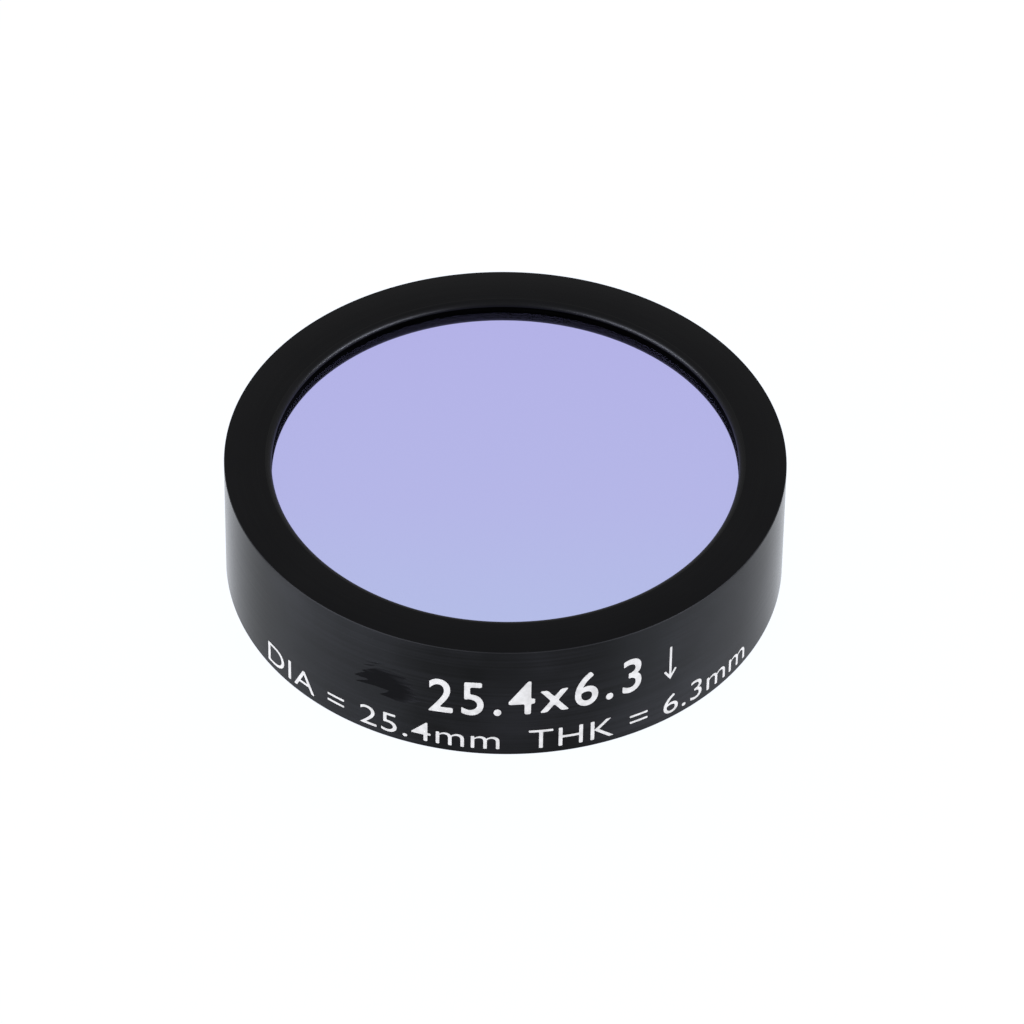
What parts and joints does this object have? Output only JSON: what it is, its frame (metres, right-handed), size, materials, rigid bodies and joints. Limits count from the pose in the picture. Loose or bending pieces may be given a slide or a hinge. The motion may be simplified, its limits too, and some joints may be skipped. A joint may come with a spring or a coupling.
{
  "type": "optical filter",
  "caption": "Round mounted optical bandpass filter: a mirror-coated, cemented glass stack sealed in a thin black anodised ring, with plain white marks round its edge.",
  "frame": {"origin": "centre of the rear face, on the optical axis", "axes": "+Z along the optical axis, out of the coated face; -Y is the side of the ring that carries the marks"},
  "size_m": [0.0254, 0.0254, 0.0063],
  "materials": {
    "black_anodised": "turned and black anodised, satin",
    "black_anodised_inner": "black anodised, matt",
    "black_epoxy": "cured potting compound",
    "dielectric_mirror": "polished, lavender reflection",
    "clear_glass": "polished faces, ground edge",
    "optical_cement": "clear",
    "inner_coating": "thin film stack",
    "absorbing_glass": "near-black colour glass, polished"
  },
  "bodies": {
    "root": {"filter_ring": "black_anodised", "retaining_ring": "black_anodised_inner", "edge_seal": "black_epoxy", "reflector_coating": "dielectric_mirror", "entrance_plate": "clear_glass", "front_cement": "optical_cement", "bandpass_coating": "inner_coating", "bandpass_plate": "clear_glass", "middle_cement": "optical_cement", "blocking_coating": "inner_coating", "blocking_plate": "clear_glass", "rear_cement": "optical_cement", "absorbing_plate": "absorbing_glass"}
  },
  "joints": []
}
